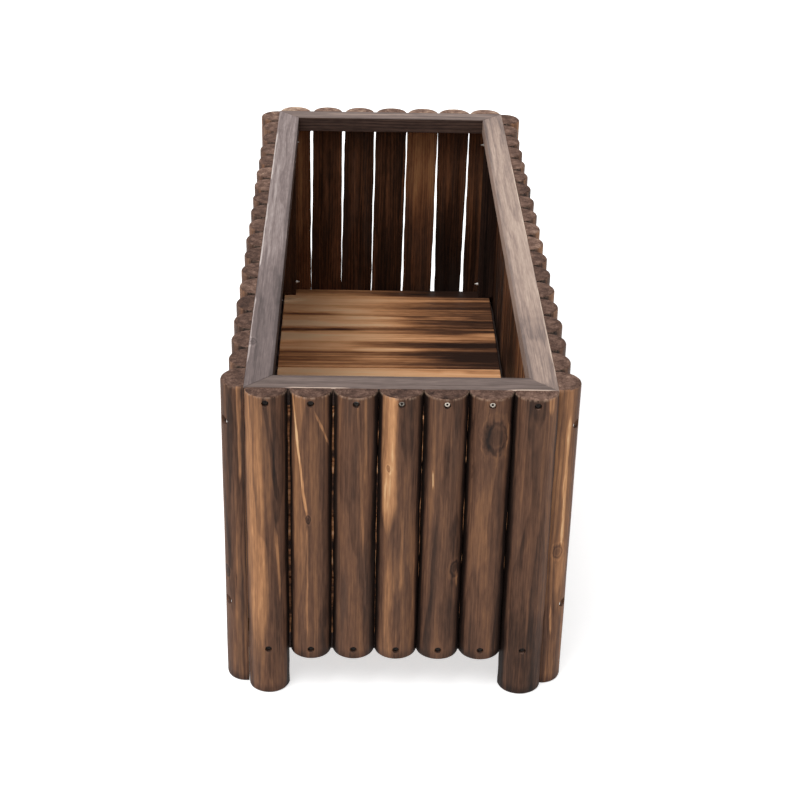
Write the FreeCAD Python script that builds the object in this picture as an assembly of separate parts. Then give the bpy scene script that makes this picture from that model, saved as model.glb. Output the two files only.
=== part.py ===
import FreeCAD, Part
import os
from collections import namedtuple

# A wooden planter box. Half-round slats stand side by side round two mitred frames, one at the rim
# and one under the floor. The two outer slats of every wall are longer and are the legs.
# Sizes are in millimetres. X runs across the box, Y along it, Z up. The origin is on the ground,
# below the middle of the box.

# Half-round slats
slat_width = 38.0               # across the flat back of a slat
slat_depth = 18.0               # from the flat back to the crest, of a plain slat and of an end leg
side_leg_depth = 22.0           # the legs of the long sides are poles sawn past the middle
slat_gap = 2.0                  # daylight between neighbouring slats
end_slat_count = 7              # slats of a short end, legs included
side_slat_count = 19            # slats of a long side, legs included
slat_length = 280.0             # a plain slat
leg_drop = 40.0                 # how much further down a leg reaches
end_bevel = 1.5                 # bevel round the curved edge of a sawn end

# Rim and floor frames, and the posts between them
rail_width = 25.0
rail_height = 18.0
post_side = 20.0

# Floor boards, which lie across the box
floor_board_count = 7
front_board_width = 70.0        # the board at the front is ripped narrower, the others share the rest
floor_board_gap = 3.0           # drain gap between boards
floor_board_thickness = 16.0
floor_end_gap = 5.0             # from a board's end to the side slats

# Slat nails, one at the top and one at the bottom of every slat
nail_length = 30.0
nail_diameter = 2.5
nail_point = 4.0
nail_head_diameter = 5.5
nail_head_height = 1.2
nail_sink = 3.0                 # how far the head is punched below the slat's crest
nail_stagger = 4.0              # end slats are nailed this much higher than side slats

# Floor nails, driven up through the side rails of the lower frame
floor_nail_length = 28.0
floor_nail_margin = 11.0        # least distance from a nail to a board's edge

# Corner screws, driven through the side legs into the posts
screw_length = 38.0             # below the head
screw_diameter = 4.5
screw_point = 6.0
screw_head_diameter = 8.0
screw_head_height = 3.0
screw_seat_depth = 13.0         # wood left between the head's seat and the leg's flat back
screw_slot_length = 5.0         # cross recess in the head
screw_slot_width = 1.2
screw_slot_depth = 1.6
upper_screw_drop = 38.0         # below the rim
lower_screw_rise = 49.0         # above the ends of the plain slats

# Clearances round the fasteners
shank_clearance = 0.3           # all round a shank, and past its point
head_clearance = 0.5            # all round a head

# Levels and half sizes that follow from the sizes above
slat_pitch = slat_width + slat_gap
half_width = end_slat_count * slat_pitch / 2
half_length = side_slat_count * slat_pitch / 2
wall_bottom = leg_drop
wall_top = wall_bottom + slat_length
floor_underside = wall_bottom + rail_height
floor_top = floor_underside + floor_board_thickness
rim_underside = wall_top - rail_height

# A wall is drawn as the front wall, with its slats' flat backs at Y = -distance, and then turned about Z.
# Its slats are counted from its first corner to its last one, left to right as seen from outside.
WallKind = namedtuple("WallKind", "name distance half_run slat_count leg_depth slats_per_node")
end = WallKind("end", half_length, half_width, end_slat_count, slat_depth, 1)
side = WallKind("side", half_width, half_length, side_slat_count, side_leg_depth, 2)
Wall = namedtuple("Wall", "name turn kind first_corner last_corner")
walls = (
    Wall("front", 0, end, "front_left", "front_right"),
    Wall("right", 90, side, "front_right", "back_right"),
    Wall("back", 180, end, "back_right", "back_left"),
    Wall("left", 270, side, "back_left", "front_left"),
)

UP = FreeCAD.Vector(0, 0, 1)
INWARD = FreeCAD.Vector(0, 1, 0)
CENTRE = FreeCAD.Vector(0, 0, 0)


def turned(shape, wall):
    """A copy of a shape drawn on the front wall, turned to the place of another wall."""
    copy = shape.copy()
    copy.rotate(CENTRE, UP, wall.turn)
    return copy


def prism(points, bottom, top):
    """An upright prism over a closed outline of (x, y) points."""
    corners = [FreeCAD.Vector(x, y, bottom) for x, y in points]
    outline = Part.makePolygon(corners + corners[:1])
    return Part.Face(outline).extrude(UP * (top - bottom))


def rod(radius, start, length, direction):
    """A cylinder from a start point along a direction."""
    return Part.makeCylinder(radius, length, start, direction)


def fastener(start, direction, length, diameter, point, head_diameter, head_height):
    """A nail or screw whose head sits on the start point, with its shank along the direction."""
    head = rod(head_diameter / 2, start - direction * head_height, head_height, direction)
    shank = rod(diameter / 2, start, length - point, direction)
    tip = Part.makeCone(diameter / 2, 0, point, start + direction * (length - point), direction)
    return head.fuse((shank, tip)).removeSplitter()


def fastener_bore(start, direction, length, diameter, head_diameter, head_room):
    """The hole that a fastener needs: a flat-bottomed counterbore for the head and a bore for the shank."""
    counterbore = rod(head_diameter / 2 + head_clearance, start - direction * head_room, head_room, direction)
    bore = rod(diameter / 2 + shank_clearance, start, length + shank_clearance, direction)
    return counterbore.fuse(bore)


def slat_places(wall):
    """The X of every slat of a wall, as drawn on the front wall."""
    return [(index + 0.5) * slat_pitch - wall.kind.half_run for index in range(wall.kind.slat_count)]


def is_leg(wall, x):
    """Whether the slat at this X is the first or the last of its wall."""
    return abs(x) > wall.kind.half_run - slat_pitch


def depth_at(wall, x):
    """From the flat back to the crest of the slat at this X."""
    return wall.kind.leg_depth if is_leg(wall, x) else slat_depth


def half_round(wall, x):
    """One half-round slat with its two sawn ends bevelled round the curved edge."""
    half_back = slat_width / 2
    bottom = 0 if is_leg(wall, x) else wall_bottom
    left = FreeCAD.Vector(x - half_back, -wall.kind.distance, bottom)
    right = FreeCAD.Vector(x + half_back, -wall.kind.distance, bottom)
    crest = FreeCAD.Vector(x, -wall.kind.distance - depth_at(wall, x), bottom)
    back = Part.LineSegment(right, left).toShape()
    front = Part.Arc(left, crest, right).toShape()
    slat = Part.Face(Part.Wire([front, back])).extrude(UP * (wall_top - bottom))
    curved = [edge for edge in slat.Edges if isinstance(edge.Curve, Part.Circle)]
    return slat.makeChamfer(end_bevel, curved)


def nail_seat(wall, x, level):
    """Where the underside of a slat nail's head rests."""
    return FreeCAD.Vector(x, -wall.kind.distance - depth_at(wall, x) + nail_sink + nail_head_height, level)


def nail_level(wall, rail_bottom):
    """The height of a wall's nails in a rail: end slats are nailed above the middle, side slats below."""
    offset = nail_stagger / 2 if wall.kind is end else -nail_stagger / 2
    return rail_bottom + rail_height / 2 + offset


def slat_nail(wall, x, level):
    return fastener(nail_seat(wall, x, level), INWARD, nail_length - nail_head_height, nail_diameter,
                    nail_point, nail_head_diameter, nail_head_height)


def slat_nail_bore(wall, x, level):
    return fastener_bore(nail_seat(wall, x, level), INWARD, nail_length - nail_head_height, nail_diameter,
                         nail_head_diameter, nail_head_height + nail_sink)


def screw_places(wall):
    """X and Z of the four corner screws of a long side: two levels at the middle of each post."""
    reach = wall.kind.half_run - post_side / 2
    levels = (wall_top - upper_screw_drop, wall_bottom + lower_screw_rise)
    return [(x, level) for x in (-reach, reach) for level in levels]


def screw_seat(wall, x, level):
    return FreeCAD.Vector(x, -wall.kind.distance - screw_seat_depth, level)


def corner_screw(wall, x, level):
    """A screw with a cross recess in its head."""
    seat = screw_seat(wall, x, level)
    screw = fastener(seat, INWARD, screw_length, screw_diameter, screw_point, screw_head_diameter,
                     screw_head_height)
    face = -wall.kind.distance - screw_seat_depth - screw_head_height
    long_half = screw_slot_length / 2
    thin_half = screw_slot_width / 2
    flat = Part.makeBox(screw_slot_length, screw_slot_depth, screw_slot_width,
                        FreeCAD.Vector(x - long_half, face, level - thin_half))
    upright = Part.makeBox(screw_slot_width, screw_slot_depth, screw_slot_length,
                           FreeCAD.Vector(x - thin_half, face, level - long_half))
    return screw.cut(flat.fuse(upright))


def corner_screw_bore(wall, x, level):
    """A screw's hole, drilled right through the leg and its post whatever the screw's length."""
    head_room = wall.kind.leg_depth - screw_seat_depth
    return fastener_bore(screw_seat(wall, x, level), INWARD, screw_seat_depth + post_side, screw_diameter,
                         screw_head_diameter, head_room)


def mitred_rail(wall, bottom):
    """One rail of a frame, its ends cut at 45 degrees to meet its neighbours."""
    inner_run = wall.kind.half_run - rail_width
    inner_face = -wall.kind.distance + rail_width
    outline = (
        (-wall.kind.half_run, -wall.kind.distance),
        (wall.kind.half_run, -wall.kind.distance),
        (inner_run, inner_face),
        (-inner_run, inner_face),
    )
    return prism(outline, bottom, bottom + rail_height)


def floor_board_spans():
    """Front and back Y of every floor board, from the back of the box to the front."""
    shared = 2 * half_length - front_board_width - (floor_board_count - 1) * floor_board_gap
    full_width = shared / (floor_board_count - 1)
    spans = []
    back = half_length
    for index in range(floor_board_count - 1):
        spans.append((back - full_width, back))
        back -= full_width + floor_board_gap
    spans.append((-half_length, -half_length + front_board_width))
    return spans


def floor_nail_places(span):
    """X and Y of one board's nails. They stand on the lines between slats, clear of the slat nails."""
    front, back = span
    across = half_width - rail_width / 2
    lines = [index * slat_pitch - half_length for index in range(1, side_slat_count)]
    inside = [y for y in lines if front + floor_nail_margin <= y <= back - floor_nail_margin]
    return [(x, y) for x in (-across, across) for y in inside]


def floor_nail_seat(x, y):
    return FreeCAD.Vector(x, y, wall_bottom + nail_head_height)


def floor_nail(x, y):
    return fastener(floor_nail_seat(x, y), UP, floor_nail_length - nail_head_height, nail_diameter,
                    nail_point, nail_head_diameter, nail_head_height)


def floor_nail_bore(x, y):
    return fastener_bore(floor_nail_seat(x, y), UP, floor_nail_length - nail_head_height, nail_diameter,
                         nail_head_diameter, nail_head_height)


def wall_slats(wall):
    """Every slat of a wall with its nails' and screws' holes, in order from the first corner to the last."""
    screws = [corner_screw_bore(wall, x, z) for x, z in screw_places(wall)] if wall.kind is side else []
    slats = []
    for x in slat_places(wall):
        bores = [slat_nail_bore(wall, x, nail_level(wall, level)) for level in (wall_bottom, rim_underside)]
        if is_leg(wall, x):
            bores += screws
        slats.append(turned(half_round(wall, x).cut(tuple(bores)), wall))
    return slats


def wall_nodes(wall):
    """The legs and slats of a wall under their names. Long sides put neighbouring slats in one node."""
    slats = wall_slats(wall)
    found = {
        wall.first_corner + "_" + wall.kind.name + "_leg": slats[:1],
        wall.last_corner + "_" + wall.kind.name + "_leg": slats[-1:],
    }
    plain = slats[1:-1]
    for start in range(0, len(plain), wall.kind.slats_per_node):
        group = plain[start:start + wall.kind.slats_per_node]
        numbers = [str(start + offset + 1).zfill(2) for offset in range(len(group))]
        found[wall.name + "_slat_" + "_".join(numbers)] = group
    return found


def slat_nail_group(rail_bottom, make):
    """One nail, or one nail bore, for every slat of all four walls at one frame."""
    group = []
    for wall in walls:
        level = nail_level(wall, rail_bottom)
        group += [turned(make(wall, x, level), wall) for x in slat_places(wall)]
    return group


def screw_group(make):
    """One screw, or one screw bore, for every corner screw of the long sides."""
    sides = [wall for wall in walls if wall.kind is side]
    return [turned(make(wall, x, level), wall) for wall in sides for x, level in screw_places(wall)]


def corner_posts():
    """The four posts that stand on the floor in the inner corners and carry the rim."""
    bores = tuple(screw_group(corner_screw_bore))
    corners = {
        "front_left": (-half_width, -half_length),
        "front_right": (half_width - post_side, -half_length),
        "back_left": (-half_width, half_length - post_side),
        "back_right": (half_width - post_side, half_length - post_side),
    }
    found = {}
    for name, (x, y) in corners.items():
        start = FreeCAD.Vector(x, y, floor_top)
        post = Part.makeBox(post_side, post_side, rim_underside - floor_top, start)
        found[name + "_post"] = [post.cut(bores)]
    return found


def rails(prefix, bottom, extra_bores):
    """The four mitred rails of one frame, bored for every nail that enters them."""
    bores = tuple(slat_nail_group(bottom, slat_nail_bore) + extra_bores)
    found = {}
    for wall in walls:
        rail = turned(mitred_rail(wall, bottom), wall)
        found[prefix + "_" + wall.name + "_rail"] = [rail.cut(bores)]
    return found


def floor_boards(spans):
    """The boards of the floor, numbered from the back, each with blind holes for its nails."""
    reach = half_width - floor_end_gap
    found = {}
    for number, (front, back) in enumerate(spans, start=1):
        outline = ((-reach, front), (reach, front), (reach, back), (-reach, back))
        board = prism(outline, floor_underside, floor_top)
        bores = tuple(floor_nail_bore(x, y) for x, y in floor_nail_places((front, back)))
        found["floor_board_" + str(number)] = [board.cut(bores) if bores else board]
    return found


spans = floor_board_spans()
floor_nail_points = [place for span in spans for place in floor_nail_places(span)]

nodes = {}
for wall in walls:
    nodes.update(wall_nodes(wall))
nodes.update(rails("rim", rim_underside, []))
nodes.update(rails("lower", wall_bottom, [floor_nail_bore(x, y) for x, y in floor_nail_points]))
nodes.update(corner_posts())
nodes.update(floor_boards(spans))
nodes["upper_slat_nails"] = slat_nail_group(rim_underside, slat_nail)
nodes["lower_slat_nails"] = slat_nail_group(wall_bottom, slat_nail)
nodes["floor_nails"] = [floor_nail(x, y) for x, y in floor_nail_points]
nodes["corner_screws"] = screw_group(corner_screw)

os.makedirs("parts", exist_ok=True)
for node, shapes in nodes.items():
    solids = [solid for shape in shapes for solid in shape.Solids]
    body = solids[0] if len(solids) == 1 else Part.makeCompound(solids)
    body.exportStep("parts/" + node + ".step")
    state = "valid" if body.isValid() else "not valid"
    print(node, len(solids), "solids", round(body.Volume), "cubic mm", state)
print(len(nodes), "nodes")
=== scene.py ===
# %% [markdown]
# # A planter box of charred half-round slats
# The planter is a box without a lid. Poles sawn in half stand side by side round two frames, the longer
# ones at the corners are its legs, and boards lie across the inside as a floor. The wood was flamed and
# brushed, so it is dark brown with amber streaks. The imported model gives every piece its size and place.
# This lesson gives the pieces soft edges, drilled holes, grain and char, and then lights them.

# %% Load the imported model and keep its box
import math
import random

import bmesh
import bpy
from mathutils import Matrix, Vector


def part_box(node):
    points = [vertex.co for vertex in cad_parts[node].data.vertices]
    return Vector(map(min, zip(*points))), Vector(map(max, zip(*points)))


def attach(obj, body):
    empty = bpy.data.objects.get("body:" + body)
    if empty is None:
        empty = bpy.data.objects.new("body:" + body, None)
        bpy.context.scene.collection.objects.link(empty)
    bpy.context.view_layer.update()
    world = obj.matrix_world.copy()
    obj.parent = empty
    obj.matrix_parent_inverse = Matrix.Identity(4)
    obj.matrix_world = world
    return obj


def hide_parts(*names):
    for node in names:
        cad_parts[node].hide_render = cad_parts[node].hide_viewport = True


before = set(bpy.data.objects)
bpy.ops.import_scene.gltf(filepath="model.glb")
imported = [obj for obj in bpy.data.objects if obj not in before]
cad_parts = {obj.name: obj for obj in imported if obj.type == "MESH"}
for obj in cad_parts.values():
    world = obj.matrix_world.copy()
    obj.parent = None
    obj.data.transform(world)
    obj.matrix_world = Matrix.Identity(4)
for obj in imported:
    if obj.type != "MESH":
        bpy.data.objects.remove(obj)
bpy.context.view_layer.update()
MM = 0.001
print("pieces in the packed model:", len(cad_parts))

# %% [markdown]
# ## Arithmetic that builds node trees
# Both the shapes and the finishes below are node trees written in the script. A node takes a line to add
# and another for each socket, which soon hides the idea. So one helper adds any node and fills its sockets,
# and what comes out of a node is wrapped as a wire. A sum written with wires adds the nodes that work it
# out: a * b + c becomes a node that multiplies and one that adds.

# %% Wires and the nodes they come from
class Wire:
    """A value in a node tree. Arithmetic with it adds the node that does the sum."""

    def __init__(self, tree, socket):
        self.tree = tree
        self.socket = socket

    def __add__(self, other):
        return maths("ADD", self, other)

    def __sub__(self, other):
        return maths("SUBTRACT", self, other)

    def __rsub__(self, other):
        return maths("SUBTRACT", other, self)

    def __mul__(self, other):
        return maths("MULTIPLY", self, other)

    def __truediv__(self, other):
        return maths("DIVIDE", self, other)

    __radd__ = __add__
    __rmul__ = __mul__


def new_node(tree, kind, inputs=None, **settings):
    """Adds a node. Inputs are plain values or wires, under the input's name or number."""
    made = tree.nodes.new(kind)
    for name, value in settings.items():
        setattr(made, name, value)
    for key, value in (inputs or {}).items():
        if isinstance(value, Wire):
            tree.links.new(value.socket, made.inputs[key])
        else:
            made.inputs[key].default_value = value
    return made


def add(tree, kind, inputs=None, output=0, **settings):
    """Adds a node and returns the wire that comes out of it."""
    return Wire(tree, new_node(tree, kind, inputs, **settings).outputs[output])


def maths(operation, *values):
    """One step of arithmetic, with a wire among its values."""
    tree = next(value.tree for value in values if isinstance(value, Wire))
    return add(tree, "ShaderNodeMath", dict(enumerate(values)), operation=operation)


def vector_maths(operation, first, second):
    return add(first.tree, "ShaderNodeVectorMath", {0: first, 1: second}, "Vector", operation=operation)


def split(vector):
    parts = new_node(vector.tree, "ShaderNodeSeparateXYZ", {0: vector}).outputs
    return [Wire(vector.tree, part) for part in parts]


def joined(tree, x, y, z):
    return add(tree, "ShaderNodeCombineXYZ", {0: x, 1: y, 2: z})


print("sums that wires can do: + - * /")

# %% Fading from one value to another
def eased(value, start, end):
    """Rises smoothly from 0 to 1 while the value goes from start to end."""
    sockets = {"Value": value, "From Min": start, "From Max": end}
    return add(value.tree, "ShaderNodeMapRange", sockets, interpolation_type="SMOOTHSTEP")


def between(share, first, second):
    """One number going over into another as the share goes from 0 to 1."""
    return add(share.tree, "ShaderNodeMix", {0: share, 2: first, 3: second})


def blended(share, first, second):
    """One colour fading into another as the share goes from 0 to 1."""
    return add(share.tree, "ShaderNodeMix", {0: share, 6: first, 7: second}, 2, data_type="RGBA")


def paint(red, green, blue):
    """A colour as an image editor shows it, 0 to 255, in the linear values that sockets take."""
    def linear(level):
        share = level / 255
        return share / 12.92 if share <= 0.04045 else ((share + 0.055) / 1.055) ** 2.4
    return (linear(red), linear(green), linear(blue), 1.0)


print("mid brown in linear values:", [round(v, 3) for v in paint(105, 78, 62)])

# %% [markdown]
# ## Grain that belongs to the pole
# On the real box each slat is half of a young fir pole. Its growth rings show on the sawn ends and its
# fibres run along it. Object coordinates would run one pattern through all the slats as if they were one
# block, so every piece carries its own grain coordinates as a mesh attribute: x across, y through the
# thickness and z along the fibres, in metres. Each also carries a tone and a few marks that are its own.

# %% Read a piece's own grain
def piece_attribute(tree, name, output="Vector"):
    return add(tree, "ShaderNodeAttribute", output=output, attribute_name=name)


def stretched_noise(grain, seed, across, along, detail=2.0, distortion=0.0):
    """Noise drawn out along the fibres: both sizes are lengths in metres of a typical fleck."""
    flecks = vector_maths("MULTIPLY", grain, (1 / across, 1 / across, 1 / along))
    sockets = {"Vector": flecks, "W": seed, "Scale": 1.0, "Detail": detail, "Distortion": distortion}
    return add(grain.tree, "ShaderNodeTexNoise", sockets, "Fac", noise_dimensions="4D")


def centred(noise, gain):
    """Noise around a half, turned into a push up or down."""
    return (noise - 0.5) * gain


print("grain runs x across, y through the thickness and z along the fibres")

# %% [markdown]
# ## Streaks and knots
# Two marks make one piece differ from the next. A streak is a pale or dark band along the fibres that fades
# at both ends, and a knot is an oval of dark wood with a rim that the grain flows round. They could be
# painted on an image, but then every piece would need one. Here each is a few numbers on the piece, and the
# finish draws them sharp at any size.

# %% Streaks as steps of a tree
# Either end fades over some widths and a little more, but over this share of the streak at most.
FADE_WIDTHS = 4.0
FADE_MORE = 10 * MM
LONGEST_FADE = 0.35
THINNEST_STREAK = 0.05 * MM
# Sizes of noise here and below are a width across the fibres and a length along them.
RAGGED_EDGE = (5 * MM, 34 * MM)


def streak(across, height, ragged, number, look):
    """A fading band. Its path is place, lean and gain, and its span is low end, high end and width."""
    place, lean, gain = split(piece_attribute(across.tree, "streak_path_" + str(number)))
    low, high, width = split(piece_attribute(across.tree, "streak_span_" + str(number)))
    fade = maths("MINIMUM", (high - low) * LONGEST_FADE, width * FADE_WIDTHS + FADE_MORE)
    strength = eased(height, low, low + fade) * eased(height, high, high - fade)
    middle = (low + high) * 0.5
    aside = across - (place + (height - middle) * lean + ragged)
    if look["pointed"]:
        width = width * strength
    share = maths("ABSOLUTE", aside) / maths("MAXIMUM", width, THINNEST_STREAK)
    return eased(share, 1.0, look["core"]) * strength * gain


def streaked(level, flow, seed, look):
    """How pale the wood is with all of the piece's streaks on it."""
    across, _, height = split(flow)
    ragged = centred(stretched_noise(flow, seed, *RAGGED_EDGE, 3.0), look["ragged"])
    for number in range(1, look["streaks"] + 1):
        level = level + streak(across, height, ragged, number, look)
    return level


print("a streak fades over at most", LONGEST_FADE, "of its length at either end")

# %% Knots as steps of a tree
KNOT_OUTLINE = (4 * MM, 7 * MM)
SMALLEST_KNOT = 0.01 * MM
# A knot is this much longer than wide, and its pull on the grain halves this often with each radius away.
KNOT_STRETCH = 1.7
KNOT_PULL = 0.8
PULL_HALVINGS = 1.6
# Distances where 1 is the outline: the core fades between two, and each ring has a middle and a spread.
KNOT_CORE = (0.35, 0.9)
KNOT_RIM = (0.95, 0.3)
KNOT_HALO = (1.45, 0.35)
CORE_CHAR, RIM_CHAR, HALO_LIFT = 0.16, 0.2, 0.07


def knot_distance(across, height):
    """How far a point is from the piece's knot, where 1 is the knot's rim, and how far to its right."""
    place, level, radius = split(piece_attribute(across.tree, "knot"))
    radius = maths("MAXIMUM", radius, SMALLEST_KNOT)
    aside = (across - place) / radius
    along = (height - level) / (radius * KNOT_STRETCH)
    return maths("SQRT", aside * aside + along * along), across - place


def ring_mark(distance, middle, spread):
    """1 where a distance equals the middle, fading to 0 at the spread."""
    return 1.0 - eased(maths("ABSOLUTE", distance - middle), 0.0, spread)


def flow_round_knot(grain, seed, across):
    """How far each point is from the knot, and the grain coordinates bent round it."""
    _, y, z = split(grain)
    from_knot, beside_knot = knot_distance(across, z)
    from_knot = from_knot * (stretched_noise(grain, seed, *KNOT_OUTLINE) + 0.5)
    pull = maths("POWER", 2.0, from_knot * -PULL_HALVINGS)
    return from_knot, joined(grain.tree, across - beside_knot * pull * KNOT_PULL, y, z)


def knotted(level, from_knot):
    """How pale the wood is with the piece's knot on it, and where the knot's rim is."""
    core = 1.0 - eased(from_knot, *KNOT_CORE)
    rim = ring_mark(from_knot, *KNOT_RIM)
    halo = ring_mark(from_knot, *KNOT_HALO)
    return level - core * CORE_CHAR - rim * RIM_CHAR + halo * HALO_LIFT, rim


print("a knot is", KNOT_STRETCH, "times as long as it is wide")

# %% [markdown]
# ## The flamed wood finish
# Flaming darkens the wood and brushing brings the hard late rings back up, so the colour follows the
# grain: broad clouds, bands as wide as a finger, fibres, and fine pores. The finish adds these up as one
# number, from burnt to bare, and a colour ramp turns it into paint. One builder serves the slats, rails,
# posts and boards, each with its own ramp. Roughness and bump come from the same fibres.

# %% Ramps, growth rings and the shader's inputs
RING_WARP = (45 * MM, 260 * MM)
RING_WAVER = (9 * MM, 60 * MM)
WARP_REACH = 16 * MM
WAVER_REACH = 1.6 * MM
# Shares of a ring in which its late wood darkens and then ends.
DARKENING = (0.35, 0.86)
ENDING = (1.0, 0.9)


def ramp(value, stops):
    """The colour that a number stands for."""
    scale = new_node(value.tree, "ShaderNodeValToRGB", {"Fac": value})
    elements = scale.color_ramp.elements
    while len(elements) < len(stops):
        elements.new(1.0)
    for element, (place, colour) in zip(elements, stops):
        element.position = place
        element.color = paint(*colour)
    return Wire(value.tree, scale.outputs["Color"])


def growth_rings(grain, seed, spacing, pith):
    """Late wood of the growth rings round a pith, from 0 in early wood to 1 on a ring's dark line."""
    warp = centred(stretched_noise(grain, seed, *RING_WARP), WARP_REACH)
    waver = centred(stretched_noise(grain, seed, *RING_WAVER), WAVER_REACH)
    x, y, _ = split(vector_maths("SUBTRACT", grain, pith))
    phase = maths("FRACT", (maths("SQRT", x * x + y * y) + warp + waver) / spacing)
    return eased(phase, *DARKENING) * eased(phase, *ENDING)


def new_finish(name):
    """An empty finish and its shader."""
    finish = bpy.data.materials.new(name)
    finish.use_nodes = True
    return finish, finish.node_tree.nodes["Principled BSDF"]


def feed(shader, name, value):
    value.tree.links.new(value.socket, shader.inputs[name])


def emboss(shader, height, strength, distance):
    sockets = {"Strength": strength, "Distance": distance, "Height": height}
    feed(shader, "Normal", add(height.tree, "ShaderNodeBump", sockets))


print("mm that growth rings wander and waver:", round(WARP_REACH / MM, 1), round(WAVER_REACH / MM, 1))

# %% Grain that every wood has
CLOUD = (26 * MM, 240 * MM)
FLECK = (2.6 * MM, 13 * MM)
PORE = (0.5 * MM, 16 * MM)
END_PIT = (1.4 * MM, 30 * MM)
END_BLOTCH = (7 * MM, 60 * MM)
# How pale sides and sawn ends are on average, from 0 for burnt to 1 for bare wood.
SIDE_LEVEL = 0.43
END_LEVEL = 0.39
# How strongly the pores show, and what shows on a sawn end and in the relief.
PORE_GAIN = 0.25
END_GAIN = {"lift": 0.5, "pits": 0.7, "blotch": 1.2, "late wood": 0.07}
RELIEF = {"fibre": 0.8, "pores": 0.3, "late wood": 0.2, "blotch": 0.8, "end": 0.35, "knot rim": 0.3}


def grain_noises(grain, flow, seed, look):
    """The noises that colour and relief share. Those of a sawn end don't flow round the knot."""
    return {
        "clouds": stretched_noise(flow, seed, *CLOUD),
        "band": stretched_noise(flow, seed, *look["band"], 3.0, 0.5),
        "fibre": stretched_noise(flow, seed, *look["fibre"], 4.0, 0.3),
        "flecks": stretched_noise(flow, seed, *FLECK, 3.0),
        "pores": stretched_noise(flow, seed, *PORE, 3.0),
        "late wood": growth_rings(flow, seed, look["ring spacing"], look["pith"]),
        "pits": stretched_noise(grain, seed, *END_PIT, 3.0),
        "blotch": stretched_noise(grain, seed, *END_BLOTCH, 4.0)}


def grain_level(lift, noise, fibre_gain, look):
    """How pale the sides are before any streak or knot."""
    level = SIDE_LEVEL + lift + centred(noise["clouds"], look["clouds"])
    level = level + centred(noise["band"], look["bands"]) + centred(noise["fibre"], fibre_gain)
    level = level + centred(noise["flecks"], look["flecks"]) + centred(noise["pores"], PORE_GAIN)
    return level - noise["late wood"] * look["rings"]


def sawn_end_level(lift, noise):
    """How pale a sawn end is."""
    level = END_LEVEL + lift * END_GAIN["lift"] + centred(noise["pits"], END_GAIN["pits"])
    level = level + centred(noise["blotch"], END_GAIN["blotch"])
    return level - noise["late wood"] * END_GAIN["late wood"]


def wood_relief(noise, is_end, knot_rim):
    """Raised fibres and late wood, pitted sawn ends, and a groove round the knot."""
    end_relief = (noise["pits"] + noise["blotch"] * RELIEF["blotch"]) * is_end
    relief = noise["fibre"] * RELIEF["fibre"] + noise["pores"] * RELIEF["pores"]
    relief = relief + noise["late wood"] * RELIEF["late wood"]
    return relief + end_relief * RELIEF["end"] - knot_rim * RELIEF["knot rim"]


print("mm across a cloud, a fleck and a pore:", [round(size[0] / MM, 1) for size in (CLOUD, FLECK, PORE)])

# %% Char, painted shade, a worn and lit rim, and ash of a pole
# The pale rim at a pole's top is partly worn wood and partly a painted highlight.
WORN_EDGE_AND_HIGHLIGHT = paint(166, 138, 118)
ASH = paint(72, 59, 53)
ASH_PATCH = (13 * MM, 110 * MM)
# Each pair is where a mark begins and where it is full: the depth of a flank from the back, where char and
# painted shade between the slats darken it, the height above the foot, the height on the flat back, below
# which painted shade darkens the inside of the box, and the distance below the top.
FLANK = (12 * MM, 4 * MM)
FOOT = (12 * MM, 1 * MM)
LOW_INSIDE_SHADE = (230 * MM, 100 * MM)
TOP_RIM = (3.5 * MM, 1 * MM)
FLANK_CHAR_AND_SHADE = 0.6
FOOT_CHAR = 0.16
# Levels of the noise between which the worn and lit rim and the ash set in.
RIM_FLECKS = (0.35, 0.65)
ASHEN = (0.44, 0.66)


def charred_and_shaded(level, grain, flat_back):
    """How pale a pole is with char and painted shade between the slats on its flanks, a charred foot, and
    painted light and shade on the flat back.
    """
    x, y, z = split(grain)
    left_char_and_shade, right_char_and_shade, _ = split(piece_attribute(grain.tree, "flank_shade_and_top"))
    bottom, _, _ = split(piece_attribute(grain.tree, "ends"))
    inside_painted_light, low_painted_shade, _ = split(piece_attribute(grain.tree, "inside"))
    char_and_shade = between(maths("GREATER_THAN", x, 0.0), left_char_and_shade, right_char_and_shade)
    flank = eased(y, *FLANK) * (1.0 - flat_back) * char_and_shade
    foot = eased(z - bottom, *FOOT)
    # Painted light and shade on the flat backs inside the box: a lift for each wall and darkening low down.
    inside = flat_back * (eased(z, *LOW_INSIDE_SHADE) * low_painted_shade + inside_painted_light)
    return level - flank * FLANK_CHAR_AND_SHADE - foot * FOOT_CHAR + inside


def weathered_and_rim_lit(colour, flow, flecks, seed, ash_share):
    """A pole's colour with a pale rim at its top, partly worn and partly a painted highlight, and patches of
    ash.
    """
    _, top, rim_wear_and_highlight = split(piece_attribute(flow.tree, "ends"))
    below_top = top - split(flow)[2]
    worn_and_lit_rim = eased(below_top, *TOP_RIM) * rim_wear_and_highlight * eased(flecks, *RIM_FLECKS)
    ash = eased(stretched_noise(flow, seed, *ASH_PATCH, 3.0), *ASHEN)
    return blended(ash * ash_share, blended(worn_and_lit_rim, colour, WORN_EDGE_AND_HIGHLIGHT), ASH)


print("ash in linear values:", [round(v, 3) for v in ASH])

# %% Build a wood finish
END_STOPS = (
    (0.00, (50, 36, 31)), (0.35, (92, 69, 59)), (0.60, (126, 99, 86)), (0.82, (168, 138, 119)),
    (1.00, (208, 182, 158)))
FLAT = 0.3 * MM
# Across a pole is measured as an arc of this radius, round a centre this far behind the flat back.
ARC_RADIUS = 24 * MM
ARC_CENTRE = 8 * MM
BACK_FIBRES = 0.15
# The colour of a rail's top, partly its own and partly a painted sheen of the sky, sets in between these
# depths below the top.
TOP_EDGE = (0.9 * MM, 0.3 * MM)
FIBRE_ROUGHNESS = 0.3
END_ROUGHNESS = 0.25
BUMP = {"strength": 0.5, "distance": 0.6 * MM}


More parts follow.
